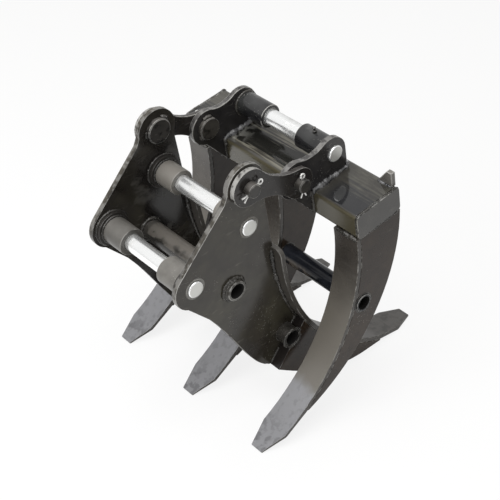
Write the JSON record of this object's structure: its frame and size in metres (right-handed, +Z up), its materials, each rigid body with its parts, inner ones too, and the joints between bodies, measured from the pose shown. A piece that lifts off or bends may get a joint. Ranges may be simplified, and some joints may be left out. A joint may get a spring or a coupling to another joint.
{
  "type": "log grapple",
  "caption": "Log grapple for a mini excavator: a boxed lower jaw with its pin frame, an upper jaw of curved tines under a crossbeam, and link plates that join them.",
  "frame": {"origin": "centre of the bounding box's footprint, at the floor that the tine points stand on", "axes": "+Z up; +X from the dipper pins towards the lower tines' tips; +Y along the pins to the tool's left side"},
  "size_m": [0.5736, 0.442, 0.5378],
  "materials": {
    "black_paint": "semi-gloss black, warm, worn at the edges",
    "blue_black_paint": "gloss blue-black",
    "plated_steel": "zinc plated",
    "ground_steel": "ground bright"
  },
  "bodies": {
    "frame": {"side_plate_right": "black_paint", "side_plate_left": "black_paint", "lower_tine_face_right": "black_paint", "lower_tine_face_left": "black_paint", "lower_tine_box_right": "black_paint", "lower_tine_box_left": "black_paint", "upper_tie_tube": "black_paint", "lower_tie_tube": "black_paint", "dipper_boss_right": "black_paint", "dipper_boss_left": "black_paint", "linkage_boss_right": "black_paint", "linkage_boss_left": "black_paint", "dipper_pin": "ground_steel", "linkage_pin": "ground_steel", "frame_link_pin_right": "black_paint", "frame_link_pin_left": "black_paint", "frame_cotter_pin_right": "plated_steel", "frame_cotter_pin_left": "plated_steel"},
    "links": {"link_right": "black_paint", "link_left": "black_paint"},
    "upper_jaw": {"jaw_link_pin_right": "black_paint", "jaw_link_pin_left": "black_paint", "jaw_cotter_pin_right": "plated_steel", "jaw_cotter_pin_left": "plated_steel", "ear_right": "black_paint", "ear_left": "black_paint", "top_boss_right": "black_paint", "top_boss_left": "black_paint", "top_pin": "ground_steel", "grease_nipple": "plated_steel", "crossbeam": "black_paint", "crossbeam_cap_right": "black_paint", "crossbeam_cap_left": "black_paint", "beam_lug": "black_paint", "jaw_tie_tube": "blue_black_paint", "upper_tine_face_right": "black_paint", "upper_tine_face_middle": "black_paint", "upper_tine_face_left": "black_paint", "upper_tine_box_right": "black_paint", "upper_tine_box_middle": "black_paint", "upper_tine_box_left": "black_paint"}
  },
  "joints": [
    {"name": "link_hinge", "type": "hinge", "parent": "frame", "child": "links", "pos_m": [-0.14159, 0, 0.49987], "axis": [0, -1, 0], "range_deg": [0, 40]},
    {"name": "jaw_hinge", "type": "hinge", "parent": "links", "child": "upper_jaw", "pos_m": [-0.03329, 0, 0.46116], "axis": [0, -1, 0], "range_deg": [0, 70]}
  ]
}
